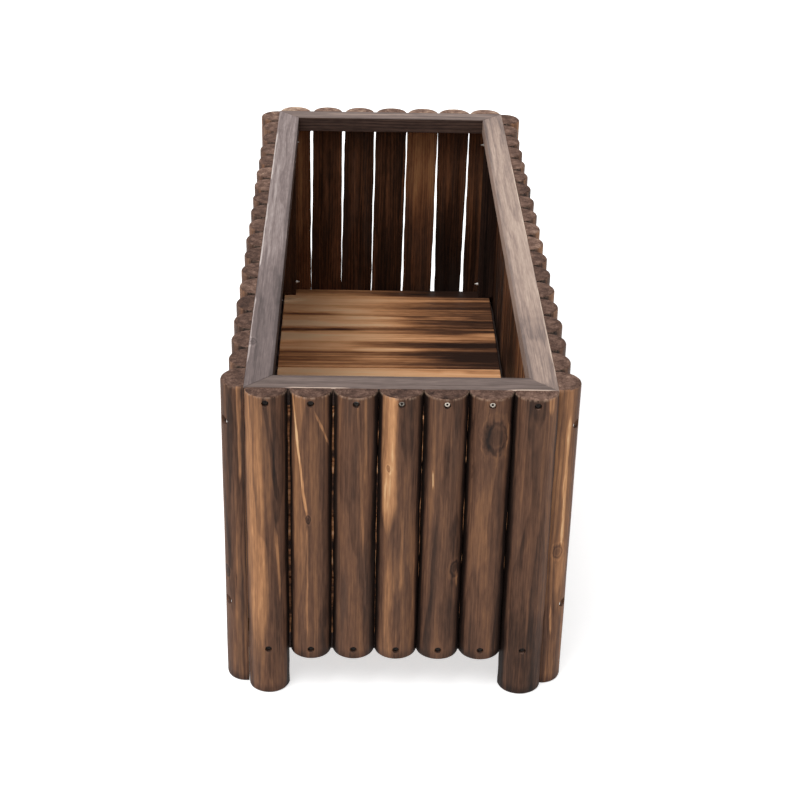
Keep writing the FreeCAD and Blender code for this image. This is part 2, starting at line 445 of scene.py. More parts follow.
def wood_finish(name, look, stops, top_and_sheen_stops=None, back_stops=None):
    """A flamed and brushed wood. The look says how strongly bands, rings, fibres and gloss show.
    Rails have other colours on top, partly their own and partly a painted sheen of the sky, and poles have
    others on their flat back."""
    finish, shader = new_finish(name)
    grain = piece_attribute(finish.node_tree, "grain")
    lift, second_tone, seed = split(piece_attribute(finish.node_tree, "tone"))
    x, y, _ = split(grain)
    across = x
    fibre_gain = look["fibres"]
    if back_stops:
        flat_back = maths("LESS_THAN", y, FLAT)
        across = between(flat_back, maths("ARCTAN2", x, y + ARC_CENTRE) * ARC_RADIUS, x)
        fibre_gain = between(flat_back, fibre_gain, BACK_FIBRES)

    from_knot, flow = flow_round_knot(grain, seed, across)
    noise = grain_noises(grain, flow, seed, look)
    level = streaked(grain_level(lift, noise, fibre_gain, look), flow, seed, look)
    level, knot_rim = knotted(level, from_knot)

    end_level = sawn_end_level(lift, noise)
    if back_stops:
        level = charred_and_shaded(level, grain, flat_back)
        colour = blended(flat_back, ramp(level, stops), ramp(level, back_stops))
        colour = weathered_and_rim_lit(colour, flow, noise["flecks"], seed, second_tone)
        end_level = end_level + split(piece_attribute(finish.node_tree, "flank_shade_and_top"))[2]
    elif top_and_sheen_stops:
        top_with_sheen = eased(y, *(look["top"] - depth for depth in TOP_EDGE))
        colour = blended(top_with_sheen, ramp(level - lift + second_tone, stops), ramp(level, top_and_sheen_stops))
    else:
        colour = ramp(level, stops)

    is_end = piece_attribute(finish.node_tree, "sawn_end", "Fac")
    feed(shader, "Base Color", blended(is_end, colour, ramp(end_level, END_STOPS)))
    roughness = look["roughness"] + centred(noise["fibre"], FIBRE_ROUGHNESS) + is_end * END_ROUGHNESS
    feed(shader, "Roughness", roughness)
    shader.inputs["Specular IOR Level"].default_value = look["specular"]
    emboss(shader, wood_relief(noise, is_end, knot_rim), **BUMP)
    return finish


print("stops of the sawn ends:", len(END_STOPS))

# %% [markdown]
# ## Five woods from one builder
# The slats and posts are the most charred. The rim rails were brushed harder, and their tops are paler and
# greyer, partly their own colour and partly a painted sheen of the sky, the left one greyer than the others.
# The floor boards are bare fir with broad scorch marks. Each could have a tree of its own, but they differ
# only in their ramps and in how strongly the same grain shows, so each wood is a list of strengths and a
# ramp.

# %% Wood of the slats and posts
SLAT_LOOK = {
    "band": (7 * MM, 150 * MM), "fibre": (1.7 * MM, 70 * MM), "clouds": 0.6, "bands": 0.45, "fibres": 0.45,
    "flecks": 0.3, "rings": 0.12, "ring spacing": 3.2 * MM, "pith": (2 * MM, -3 * MM, 0), "ragged": 4 * MM,
    "streaks": 5, "pointed": True, "core": 0.45, "roughness": 0.6, "specular": 0.15}
POST_LOOK = {**SLAT_LOOK, "ring spacing": 3.0 * MM, "pith": (14 * MM, -12 * MM, 0)}
slat_stops = (
    (0.00, (28, 18, 14)), (0.20, (62, 42, 32)), (0.42, (104, 73, 56)), (0.60, (138, 98, 70)),
    (0.78, (180, 129, 90)), (0.92, (213, 158, 112)), (1.00, (236, 192, 144)))
back_stops = (
    (0.00, (26, 14, 9)), (0.20, (58, 35, 22)), (0.42, (104, 67, 45)), (0.60, (140, 95, 64)),
    (1.00, (200, 150, 102)))
post_stops = ((0.0, (20, 14, 12)), (0.4, (50, 35, 29)), (0.7, (86, 60, 45)), (1.0, (140, 100, 70)))
slat_wood = wood_finish("charred_slat_wood", SLAT_LOOK, slat_stops, back_stops=back_stops)
post_wood = wood_finish("charred_post_wood", POST_LOOK, post_stops)
print("nodes in the slat's finish:", len(slat_wood.node_tree.nodes))

# %% Wood of the rails and boards
rim_low, rim_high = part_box("rim_front_rail")
RAIL_LOOK = {
    "band": (4 * MM, 320 * MM), "fibre": (1.0 * MM, 55 * MM), "clouds": 0.1, "bands": 0.15, "fibres": 0.5,
    "flecks": 0.26, "rings": 0.1, "ring spacing": 3.6 * MM, "pith": (9 * MM, -30 * MM, 0), "ragged": 3 * MM,
    "streaks": 6, "pointed": True, "core": 0.4, "roughness": 0.65, "specular": 0.2,
    "top": (rim_high.z - rim_low.z) / 2}
FLOOR_LOOK = {
    "band": (13 * MM, 360 * MM), "fibre": (5.5 * MM, 260 * MM), "clouds": 0.3, "bands": 1.0, "fibres": 0.8,
    "flecks": 0.2, "rings": 0.06, "ring spacing": 7 * MM, "pith": (12 * MM, -45 * MM, 0), "ragged": 8 * MM,
    "streaks": 11, "pointed": False, "core": 0.0, "roughness": 0.6, "specular": 0.12}
side_stops = ((0.0, (24, 17, 15)), (0.4, (58, 43, 38)), (0.7, (104, 82, 72)), (1.0, (186, 160, 146)))
# Colours of the rail tops, partly the wood's own and partly a painted sheen of the sky.
warm_top_and_sheen_stops = (
    (0.00, (62, 52, 49)), (0.30, (99, 85, 80)), (0.50, (132, 115, 108)), (0.70, (175, 152, 139)),
    (1.00, (222, 200, 182)))
grey_top_and_sheen_stops = (
    (0.00, (62, 52, 50)), (0.30, (98, 86, 84)), (0.50, (129, 114, 111)), (0.70, (168, 153, 149)),
    (1.00, (214, 202, 196)))
floor_stops = (
    (0.00, (48, 32, 25)), (0.20, (100, 67, 48)), (0.40, (178, 124, 84)), (0.60, (234, 172, 123)),
    (0.80, (255, 201, 152)), (1.00, (255, 213, 170)))
warm_sheen_rail_wood = wood_finish("brushed_sheen_rail_wood", RAIL_LOOK, side_stops, warm_top_and_sheen_stops)
grey_sheen_rail_wood = wood_finish("weathered_sheen_rail_wood", RAIL_LOOK, side_stops, grey_top_and_sheen_stops)
floor_wood = wood_finish("flamed_floor_wood", FLOOR_LOOK, floor_stops)
print("other woods:", [wood.name for wood in (warm_sheen_rail_wood, grey_sheen_rail_wood, floor_wood)])

# %% [markdown]
# ## Where the slats stand
# The four walls are the same job turned round the box, so each slat is described as it would stand in the
# front wall: a flat back, a crest towards the viewer, and a place on the wall. The frame gives the sizes.
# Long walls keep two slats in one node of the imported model, and here each slat becomes a piece of its own.

# %% Read the slats from the frame
front_low, front_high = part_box("front_slat_01")
slat_width = front_high.x - front_low.x
slat_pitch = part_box("front_slat_02")[0].x - front_low.x
TURNS = {"front": 0.0, "right": 90.0, "back": 180.0, "left": 270.0}
CORNERS = {
    "front": ("front_left", "front_right"), "right": ("front_right", "back_right"),
    "back": ("back_right", "back_left"), "left": ("back_left", "front_left")}
print("slat width and pitch in mm:", round(slat_width / MM, 2), round(slat_pitch / MM, 2))


def wall_nodes(wall):
    """The nodes of a wall from its first corner to its last, as seen from outside."""
    kind = "end" if wall in ("front", "back") else "side"
    plain = sorted(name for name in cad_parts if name.startswith(wall + "_slat_"))
    first, last = CORNERS[wall]
    return [first + "_" + kind + "_leg"] + plain + [last + "_" + kind + "_leg"]


def turned(degrees):
    return Matrix.Rotation(math.radians(degrees), 3, "Z")


def around(points):
    """Lowest and highest corner of the box around some points."""
    return (Vector([min(point[axis] for point in points) for axis in range(3)]),
            Vector([max(point[axis] for point in points) for axis in range(3)]))


def to_front(wall, low, high):
    """A box turned to where it would be if its wall were the front one."""
    turn = turned(-TURNS[wall])
    return around([turn @ low, turn @ high])


def slats_in_node(wall, node):
    """What the slats in a node are called and where they stand, as if their wall were the front one."""
    low, high = to_front(wall, *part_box(node))
    count = round((high.x - low.x) / slat_pitch)
    numbers = node.split("_slat_")[-1].split("_")
    found = []
    for index in range(count):
        found.append({
            "name": node if count == 1 else wall + "_slat_" + numbers[index], "node": node, "wall": wall,
            "across": (low.x + high.x) / 2 + (index - (count - 1) / 2) * slat_pitch,
            "back": high.y, "depth": high.y - low.y, "bottom": low.z, "top": high.z})
    return found


slats = [slat for wall in TURNS for node in wall_nodes(wall) for slat in slats_in_node(wall, node)]
print("slats:", len(slats), "depths in mm:", sorted({round(slat["depth"] / MM, 1) for slat in slats}))

# %% [markdown]
# ## The half-round slat as a node tree
# A slat follows a rule: a half-round section runs from its bottom to its top, and holes are drilled where
# the nails and screws go. A mesh could be written vertex by vertex, but fifty-two slats of two depths and
# two lengths are what Geometry Nodes are for. The tree sweeps the section along a line whose points crowd
# towards both ends, so that the scale can round the sawn edge there, and then takes the drillings away.

# %% Steps that every shape tree shares
def start_tree(name, sockets):
    """An empty node tree with named inputs. Returns the tree and a wire from each input by name."""
    tree = bpy.data.node_groups.new(name, "GeometryNodeTree")
    tree.interface.new_socket("Geometry", in_out="INPUT", socket_type="NodeSocketGeometry")
    for socket_name, kind in sockets.items():
        tree.interface.new_socket(socket_name, in_out="INPUT", socket_type="NodeSocket" + kind)
    tree.interface.new_socket("Geometry", in_out="OUTPUT", socket_type="NodeSocketGeometry")
    return tree, {socket.name: Wire(tree, socket) for socket in tree.nodes.new("NodeGroupInput").outputs}


def end_tree(geometry, finish):
    """Realizes instances, sets the material and connects the output."""
    real = add(geometry.tree, "GeometryNodeRealizeInstances", {"Geometry": geometry})
    painted = add(geometry.tree, "GeometryNodeSetMaterial", {"Geometry": real, "Material": finish})
    new_node(geometry.tree, "NodeGroupOutput", {"Geometry": painted})


def store(geometry, name, value, kind, domain="POINT"):
    sockets = {"Geometry": geometry, "Name": name, "Value": value}
    return add(geometry.tree, "GeometryNodeStoreNamedAttribute", sockets, data_type=kind, domain=domain)


def cut(mesh, tool):
    """The mesh with the tool's shape taken away."""
    sockets = {"Mesh 1": mesh, "Mesh 2": tool}
    return add(mesh.tree, "GeometryNodeMeshBoolean", sockets, operation="DIFFERENCE", solver="MANIFOLD")


def smooth_but_sharp(geometry, degrees):
    """Smooth faces with creases where two faces meet at more than this angle."""
    tree = geometry.tree
    sockets = {"Geometry": geometry, "Shade Smooth": True}
    soft = add(tree, "GeometryNodeSetShadeSmooth", sockets, domain="FACE")
    angle = add(tree, "GeometryNodeInputMeshEdgeAngle", output="Unsigned Angle")
    limits = {"A": angle, "B": math.radians(degrees)}
    crease = add(tree, "FunctionNodeCompare", limits, operation="GREATER_THAN")
    sockets = {"Geometry": soft, "Selection": crease, "Shade Smooth": False}
    return add(tree, "GeometryNodeSetShadeSmooth", sockets, domain="EDGE")


print("shape trees end in Realize Instances and Set Material")

# %% Section, line and drillings of a slat
ARC_POINTS = 45
LINE_POINTS = 61
DRILL_SIDES = 28
LUMP = (22 * MM, 90 * MM)
EDGE_WAVE = (24 * MM, 30 * MM)


def slat_section(size):
    """The half-round outline: an arc over a flat back."""
    half = size["Width"] * 0.5
    tree = half.tree
    sockets = {
        "Resolution": ARC_POINTS, "Start": joined(tree, half * -1.0, 0.0, 0.0),
        "Middle": joined(tree, 0.0, size["Depth"] * -1.0, 0.0), "End": joined(tree, half, 0.0, 0.0)}
    arc = add(tree, "GeometryNodeCurveArc", sockets, mode="POINTS")
    return add(tree, "GeometryNodeSetSplineCyclic", {"Geometry": arc, "Cyclic": True})


def slat_line(size):
    """The line from bottom to top, with its points crowded towards both ends, and the section's scale."""
    bottom, top, soft = size["Bottom"], size["Top"], size["Softening"]
    tree = top.tree
    sockets = {"Start": (0, 0, 0), "End": (0, 0, 1)}
    line = add(tree, "GeometryNodeCurvePrimitiveLine", sockets, mode="POINTS")
    dotted = add(tree, "GeometryNodeResampleCurve", {"Curve": line, "Count": LINE_POINTS}, mode="COUNT")
    factor = add(tree, "GeometryNodeSplineParameter", output="Factor")
    crowded = (1.0 - maths("COSINE", factor * math.pi)) * 0.5
    height = bottom + crowded * (top - bottom)
    sockets = {"Geometry": dotted, "Position": joined(tree, 0.0, 0.0, height)}
    placed = add(tree, "GeometryNodeSetPosition", sockets)
    z = split(add(tree, "GeometryNodeInputPosition"))[2]
    from_end = maths("MINIMUM", z - bottom, top - z)
    inside = soft - maths("MINIMUM", from_end, soft)
    inset = soft - maths("SQRT", maths("MAXIMUM", soft * soft - inside * inside, 0.0))
    return placed, 1.0 - inset / size["Depth"]


def uneven_pole(swept, size):
    """The swept pole with lumps, wavy edges, a taper and a lean."""
    tree = swept.tree
    position = add(tree, "GeometryNodeInputPosition")
    x, y, z = split(position)
    sunk = stretched_noise(position, size["Seed"], *LUMP, 1.0) * size["Wobble"] * -1.0
    up = add(tree, "ShaderNodeMapRange", {
        "Value": z, "From Min": size["Bottom"], "From Max": size["Top"], "To Min": -1.0, "To Max": 1.0})
    narrower = (size["Foot width"] - size["Width"]) * ((1.0 - up) * 0.5)
    waves = stretched_noise(position, size["Seed"], *EDGE_WAVE)
    wavy = centred(waves, size["Edge wobble"]) * (x / size["Width"])
    aside = x * (narrower / size["Width"]) + wavy + up * size["Lean"]
    offset = joined(tree, aside, y / size["Depth"] * sunk, 0.0)
    return add(tree, "GeometryNodeSetPosition", {"Geometry": swept, "Offset": offset})


def drillings(outside, seat, radius, aside, lower, upper):
    """Two holes along Y, at a lower and an upper height, from outside the crest to their seat."""
    tree = outside.tree
    middle = (outside + seat) * 0.5
    line = add(tree, "GeometryNodeMeshLine", {
        "Count": 2, "Start Location": joined(tree, aside, middle, lower),
        "Offset": joined(tree, aside, middle, upper)}, mode="END_POINTS")
    sockets = {"Vertices": DRILL_SIDES, "Radius": radius, "Depth": seat - outside}
    drill = add(tree, "GeometryNodeMeshCylinder", sockets)
    holes = add(tree, "GeometryNodeInstanceOnPoints", {
        "Points": line, "Instance": drill, "Rotation": (math.pi / 2, 0, 0)})
    return add(tree, "GeometryNodeRealizeInstances", {"Geometry": holes})


print("points of a slat's arc and line:", ARC_POINTS, LINE_POINTS)

# %% Build the slat tree
NUMBERS = (
    "Width", "Foot width", "Depth", "Bottom", "Top", "Softening", "Wobble", "Edge wobble", "Lean", "Seed",
    "Nail radius", "Nail seat", "Shank radius", "Lower nail", "Upper nail", "Screw radius", "Screw seat",
    "Screw aside", "Lower screw", "Upper screw", "Turn")
SLAT_SOCKETS = {
    **dict.fromkeys(NUMBERS, "Float"), "Has screws": "Bool", "Place": "Vector", "Finish": "Material"}
OVERSHOOT = 5 * MM
CREASE = 32
LEVEL_FACE = 0.75


def slat_tree():
    tree, size = start_tree("half_round_slat", SLAT_SOCKETS)
    line, scale = slat_line(size)
    swept = add(tree, "GeometryNodeCurveToMesh", {
        "Curve": line, "Profile Curve": slat_section(size), "Scale": scale, "Fill Caps": True})
    drilled = uneven_pole(swept, size)
    outside = size["Depth"] * -1.0 - OVERSHOOT
    nails = (0.0, size["Lower nail"], size["Upper nail"])
    screws = (size["Screw aside"], size["Lower screw"], size["Upper screw"])
    screw_holes = drillings(outside, size["Screw seat"], size["Screw radius"], *screws)
    sockets = {"Switch": size["Has screws"], "True": screw_holes}
    chosen = add(tree, "GeometryNodeSwitch", sockets, input_type="GEOMETRY")
    drilled = cut(drilled, drillings(outside, OVERSHOOT, size["Shank radius"], *nails))
    drilled = cut(drilled, drillings(outside, size["Nail seat"], size["Nail radius"], *nails))
    drilled = cut(drilled, chosen)
    outward = vector_maths("MULTIPLY", add(tree, "GeometryNodeInputPosition"), (1.0, -1.0, 1.0))
    marked = store(drilled, "grain", outward, "FLOAT_VECTOR")
    upright = maths("ABSOLUTE", split(add(tree, "GeometryNodeInputNormal"))[2])
    marked = store(marked, "sawn_end", maths("GREATER_THAN", upright, LEVEL_FACE), "FLOAT", "FACE")
    placed = add(tree, "GeometryNodeTransform", {
        "Geometry": smooth_but_sharp(marked, CREASE), "Translation": size["Place"],
        "Rotation": joined(tree, 0.0, 0.0, size["Turn"])})
    end_tree(placed, size["Finish"])
    return tree


half_round_slat = slat_tree()
print("slat tree:", len(half_round_slat.nodes), "nodes")

# %% [markdown]
# ## Run a tree into a plain mesh
# The export keeps plain meshes only. A tree runs as a modifier on an empty object, its inputs are set by
# their identifiers, and the evaluated result is copied out as a mesh. After that the modifier is removed.
# Every piece then gets the body it rides on and the nodes it stands for.

# %% Grow a piece and tie it to the frame
def grown(tree, name, sizes, mesh=None):
    """Runs a node tree once and returns an object that holds the result as a plain mesh."""
    piece = bpy.data.objects.new(name, mesh or bpy.data.meshes.new(name))
    bpy.context.scene.collection.objects.link(piece)
    modifier = piece.modifiers.new(tree.name, "NODES")
    modifier.node_group = tree
    for socket in tree.interface.items_tree:
        if socket.in_out == "INPUT" and socket.name in sizes:
            modifier[socket.identifier] = sizes[socket.name]
    depsgraph = bpy.context.evaluated_depsgraph_get()
    result = bpy.data.meshes.new_from_object(piece.evaluated_get(depsgraph), depsgraph=depsgraph)
    piece.modifiers.clear()
    piece.data = result
    result.name = name
    return piece


def tie(piece, slot, *nodes):
    """The piece rides on the box and stands for these nodes. The slot is not used."""
    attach(piece, "root")
    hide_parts(*nodes)


def mark(mesh, name, value):
    """The same three numbers on every point of a mesh, for its finish to read."""
    layer = mesh.attributes.new(name, "FLOAT_VECTOR", "POINT")
    layer.data.foreach_set("vector", list(value) * len(mesh.vertices))


def put_marks(mesh, marks, seed):
    """Writes a piece's tone, knot and streaks on its points."""
    tone, knot, streaks = marks
    mark(mesh, "tone", (*tone, seed))
    mark(mesh, "knot", [value * MM for value in knot])
    for number, (place, lean, gain, low, high, width) in enumerate(streaks, 1):
        mark(mesh, "streak_path_" + str(number), (place * MM, lean, gain))
        mark(mesh, "streak_span_" + str(number), (low * MM, high * MM, width * MM))


print("nodes that the pieces will stand for:", len(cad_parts))

# %% [markdown]
# ## What marks each slat
# Each slat has its own tone, perhaps a knot, and a few streaks. The marks that the photograph shows well are
# listed after it, and the others are drawn from a fixed seed. Lengths are in millimetres: across is
# measured round the pole from its crest, to the right as seen from outside, and heights are above the
# ground. A tone is lift and share of ash, a knot is place, height and radius, and a streak is place, lean,
# gain, low end, high end and width.

# %% Tones and marks of the slats
random.seed(11)
NO_KNOT = (0, 0, 0)


def drawn_marks(strength, lift):
    """Marks for a slat that the photograph doesn't show closely."""
    streaks = []
    for _ in range(4):
        low = random.uniform(10, 220)
        high = min(low + random.uniform(60, 220), 288)
        gain = random.choice((0.3, 0.22, 0.15, -0.18)) * strength
        lean = random.uniform(-0.05, 0.05)
        streaks.append((random.uniform(-20, 20), lean, gain, low, high, random.uniform(1, 7)))
    knot = (random.uniform(-18, 18), random.uniform(70, 290), random.choice((0, 0, 3, 4.5)))
    tone = (lift + random.uniform(-0.13, 0.13), random.uniform(0.0, 0.5))
    return tone, knot, streaks


hand_marks = {
    "back_left_end_leg": ((0.12, 0.1), NO_KNOT, (
        (-6, 0, 0.14, 130, 300, 4), (8, 0, -0.12, 60, 240, 4))),
    "back_slat_02": ((-0.07, 0.25), NO_KNOT, (
        (0, 0, 0.28, 150, 420, 150), (6, 0, 0.1, 60, 240, 4), (-8, 0, -0.1, 50, 300, 4))),
    "back_slat_01": ((-0.05, 0.25), NO_KNOT, (
        (0, 0, -0.35, -200, 260, 150), (4, 0, 0.12, 180, 320, 5), (-9, 0, -0.08, 150, 310, 4))),
    "back_right_end_leg": ((-0.07, 0.25), NO_KNOT, (
        (0, 0, 0.16, 130, 420, 150), (7, 0, -0.12, 60, 300, 4), (-5, 0, -0.1, 20, 150, 5))),
    "front_left_end_leg": ((0.03, 0.2), NO_KNOT, (
        (-14, -0.03, 0.21, 30, 420, 16), (4, -0.099, -0.22, 200, 345, 2.6), (10, -0.05, 0.28, 95, 190, 2.2),
        (12, 0, -0.04, 20, 400, 9))),
    "front_slat_01": ((0.04, 0.1), (-2.3, 194.5, 2.2), (
        (-11.9, -0.126, 0.42, 190, 350, 1.7), (-3, 0, 0.22, 60, 192, 1.2), (10.9, -0.4, 0.3, 258, 312, 1.5),
        (-13, 0, 0.14, 120, 440, 10), (16, 0, -0.12, 20, 400, 8))),
    "front_slat_02": ((-0.03, 0.3), NO_KNOT, (
        (6, -0.045, 0.15, 90, 330, 1.4), (8.5, 0, 0.18, 225, 328, 1.4), (-10, 0, 0.02, 40, 400, 8),
        (16, 0, -0.07, 40, 400, 8))),
    "front_slat_03": ((0.0, 0.15), (-10.5, 247, 1.8), (
        (-11, -0.01, 0.48, 160, 440, 10.5), (6, 0, -0.16, 238, 420, 7), (-2, 0, 0.12, 20, 185, 14),
        (3, 0.02, 0.16, 110, 205, 1.8), (2, 0, 0.1, -60, 240, 40))),
    "front_slat_04": ((-0.01, 0.15), (13, 141, 4.6), (
        (-10.1, 0, 0.45, 222, 250, 1.2), (1, 0.02, -0.14, 200, 292, 4), (-12, 0, -0.08, -20, 225, 9),
        (6, 0, -0.08, 40, 130, 8), (15.5, -0.1, 0.4, 114, 143, 1.8))),
    "front_slat_05": ((0.01, 0.1), (5.5, 281, 9.0), (
        (-1, 0.01, 0.12, 100, 258, 5.5), (16, 0, -0.1, 20, 262, 8), (-15, 0, -0.05, 20, 190, 8),
        (14.5, 0.03, 0.25, 262, 300, 1.6), (-1.5, 0.02, -0.2, 256, 306, 4.5))),
    "front_right_end_leg": ((0.0, 0.15), NO_KNOT, (
        (13, 0, 0.3, 296, 336, 4), (0, 0, -0.16, -60, 120, 40), (2, 0, -0.2, 286, 345, 8),
        (12, 0, 0.04, 0, 420, 12))),
    "front_left_side_leg": ((-0.04, 0.35), (8.4, 121, 3.6), (
        (24, 0, 0.52, 215, 420, 2.4), (20, 0, 0.1, -30, 112, 9), (22, 0, 0.1, 100, 240, 5),
        (12, 0.02, -0.08, 100, 330, 5))),
    "front_right_side_leg": ((0.06, 0.05), (-19.5, 150, 4.2), (
        (-17, 0, 0.26, 150, 300, 2.0), (-21.8, -0.03, 0.36, 50, 98, 1.3), (-24, 0, 0.26, 60, 420, 15),
        (-12, 0, 0.06, -30, 420, 10))),
}
print("slats marked by hand:", len(hand_marks), "of", len(slats))

# %% How the walls weathered, with painted light and shade on some of them
# How strong the drawn streaks of a wall are, and how much lighter or darker its slats are: painted shade on
# the back wall and painted light on the right wall, for the insides of the box.
wall_streaks_and_light = {"front": (1.0, 0.0), "right": (1.0, 0.06), "back": (0.6, -0.09), "left": (1.0, 0.0)}
# How much paler the sawn tops of a wall are, and how pale the rims of those tops are, partly worn and
# partly a painted highlight.
paler_tops = {"front": 0.03, "right": 0.02, "back": 0.36, "left": 0.03}
rim_wear_and_highlight = {"front": 0.7, "right": 0.25, "back": 0.3, "left": 0.25}
# How much lighter the flat backs of a wall are, all over and low down: painted light and shade on the
# insides of the box, lighter on the left wall and darker low down on the right and back walls.
inside_light_and_shade = {"front": (0.0, 0.0), "right": (-0.04, -0.3), "back": (0.0, -0.1), "left": (0.24, 0.0)}
top_tones = random.Random(4)
# A flank at a corner gets little of the char and painted shade.
CORNER_CHAR_AND_SHADE = 0.15


def flank_char_and_shade(slat):
    """How dark a slat's left and right flanks are from char and painted shade between the slats: hardly at
    all where it stands at a corner.
    """
    outermost = max(other["across"] for other in slats if other["wall"] == slat["wall"])
    left = CORNER_CHAR_AND_SHADE if slat["across"] < slat_pitch / 2 - outermost else 1.0
    right = CORNER_CHAR_AND_SHADE if slat["across"] > outermost - slat_pitch / 2 else 1.0
    return left, right


def put_wear_light_and_shade(mesh, slat):
    """Writes on a slat what its wall and its place in it did to it, with the painted shade on its flanks and
    the painted light and shade on its flat back.
    """
    wall = slat["wall"]
    mark(mesh, "ends", (slat["bottom"], slat["top"], rim_wear_and_highlight[wall]))
    mark(mesh, "flank_shade_and_top", (*flank_char_and_shade(slat), paler_tops[wall] + top_tones.uniform(-0.09, 0.09)))
    mark(mesh, "inside", (*inside_light_and_shade[wall], 0.0))


print("char on the flanks of the first slat:", flank_char_and_shade(slats[0]))

# %% Slats that are not quite straight
# Each entry is how much narrower the top is, how much narrower the foot is, and how far the top stands to
# the right as seen from outside, in millimetres. The gaps of both ends open and close because of these.
uneven = {
    "back_left_end_leg": (0.5, -0.8, 0.0), "back_slat_05": (1.5, -2.4, -0.8),
    "back_slat_04": (1.1, -2.0, -1.3), "back_slat_03": (-0.9, -0.8, -1.5),
    "back_slat_02": (-0.6, 0.8, -1.2), "back_slat_01": (-1.6, 5.2, -0.6),
    "back_right_end_leg": (0.0, -2.4, 0.0), "front_left_end_leg": (-0.4, -0.4, 0.0),
    "front_slat_02": (-1.2, -1.2, 0.0), "front_slat_03": (-1.8, -1.8, 0.0),
    "front_slat_04": (-1.9, -1.9, 0.0), "front_slat_05": (-2.4, -2.4, 0.0),
    "front_right_end_leg": (-2.6, -2.6, 0.0)}
# Poles differ, and on average the plain slats of the long walls are a little flatter than planned.
flatter = {"right": 1.4, "left": 0.5}
print("slats shaped by hand:", len(uneven))

# %% [markdown]
# ## Where the nails and screws are
# Every slat has a nail at each frame, punched below the surface so that the hole shows dark, and the side
# legs have screws into the posts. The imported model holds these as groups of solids. Splitting a group into
# its separate solids gives each fastener's place and reach, and the drillings take their places from them.

# %% Read the fasteners from the frame
WELD = 0.001 * MM


def solids_in(node):
    """Lowest and highest corner of each separate solid in a node."""
    mesh = bmesh.new()
    mesh.from_mesh(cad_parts[node].data)
    bmesh.ops.remove_doubles(mesh, verts=mesh.verts, dist=WELD)
    waiting = set(mesh.verts)
    boxes = []
    while waiting:
        island = [waiting.pop()]
        for vertex in island:
            for edge in vertex.link_edges:
                neighbour = edge.other_vert(vertex)
                if neighbour in waiting:
                    waiting.remove(neighbour)
                    island.append(neighbour)
        boxes.append(around([vertex.co for vertex in island]))
    mesh.free()
    return sorted(boxes, key=lambda box: [round(value, 5) for value in box[0]])


def facing_wall(low, high):
    """The wall that a level fastener is driven into, from the way it points and the side it is on."""
    size = high - low
    middle = (low + high) / 2
    if size.y > size.x:
        return "front" if middle.y < 0 else "back"
    return "right" if middle.x > 0 else "left"


NAIL_NODES = ("upper_slat_nails", "lower_slat_nails", "floor_nails")
fasteners = {node: solids_in(node) for node in (*NAIL_NODES, "corner_screws")}
print("fasteners:", {node: len(boxes) for node, boxes in fasteners.items()})

# %% Sizes that the drillings share with the fasteners
nail_head_height = 1.2 * MM
nail_shank_radius = 1.25 * MM
screw_head_height = 3.0 * MM
head_clearance = 0.5 * MM
shank_clearance = 0.3 * MM


def nail_of(node, slat):
    """Height, seat and head radius of a slat's nail, as if its wall were the front one."""
    for low, high in fasteners[node]:
        if facing_wall(low, high) == slat["wall"]:
            low, high = to_front(slat["wall"], low, high)
            if abs((low.x + high.x) / 2 - slat["across"]) < slat_width / 2:
                return (low.z + high.z) / 2, low.y + nail_head_height, (high.z - low.z) / 2


def screws_of(slat):
    """Aside, height, seat and head radius of the screws through a side leg, the lower one first."""
    found = []
    for low, high in fasteners["corner_screws"]:
        low, high = to_front(slat["wall"], low, high)
        middle = (low + high) / 2
        aside = middle.x - slat["across"]
        if middle.y < 0 and abs(aside) < slat_width / 2:
            found.append((aside, middle.z, low.y + screw_head_height, (high.z - low.z) / 2))
    return sorted(found, key=lambda screw: screw[1])


first_nails = [round(nail_of(node, slats[0])[0] / MM, 1) for node in NAIL_NODES[:2]]
print("heights of the first slat's nails in mm:", first_nails)

# %% [markdown]
# ## Grow the slats
# Now everything that a slat needs is known: its place, its marks, its crooked edges and its holes. They
# could be copies of one slat, but then every knot and gap would repeat. The tree runs once for each slat
# with its own sizes, and the marks are written on the mesh that comes out.

# %% Grow every slat
softening = 2.2 * MM
wobble = 0.9 * MM
edge_wobble = 5 * MM
SHAPE_SEED_STEP = 3.7
GRAIN_SEED_STEP = 7.3


def slat_sizes(slat, seed):
    """The node tree's inputs for one slat."""
    top_loss, foot_loss, lean = uneven.get(slat["name"], (0.0, 0.0, 0.0))
    depth = slat["depth"]
    if slat["wall"] in flatter and "_slat_" in slat["name"]:
        depth -= (flatter[slat["wall"]] + random.uniform(-0.4, 0.4)) * MM
    lower, seat, head_radius = nail_of("lower_slat_nails", slat)
    degrees = TURNS[slat["wall"]]
    sizes = {
        "Width": slat_width - top_loss * MM, "Foot width": slat_width - foot_loss * MM, "Depth": depth,
        "Bottom": slat["bottom"], "Top": slat["top"], "Softening": softening, "Wobble": wobble,
        "Edge wobble": edge_wobble, "Lean": lean * MM, "Seed": seed, "Nail seat": seat - slat["back"],
        "Nail radius": head_radius + head_clearance, "Shank radius": nail_shank_radius + shank_clearance,
        "Lower nail": lower, "Upper nail": nail_of("upper_slat_nails", slat)[0], "Has screws": False,
        "Place": turned(degrees) @ Vector((slat["across"], slat["back"], 0.0)),
        "Turn": math.radians(degrees), "Finish": slat_wood}
    if slat["name"].endswith("side_leg"):
        (aside, low_screw, screw_seat, screw_radius), (_, high_screw, _, _) = screws_of(slat)
        sizes.update({
            "Has screws": True, "Screw aside": aside, "Lower screw": low_screw, "Upper screw": high_screw,
            "Screw seat": screw_seat - slat["back"], "Screw radius": screw_radius + head_clearance})
    return sizes


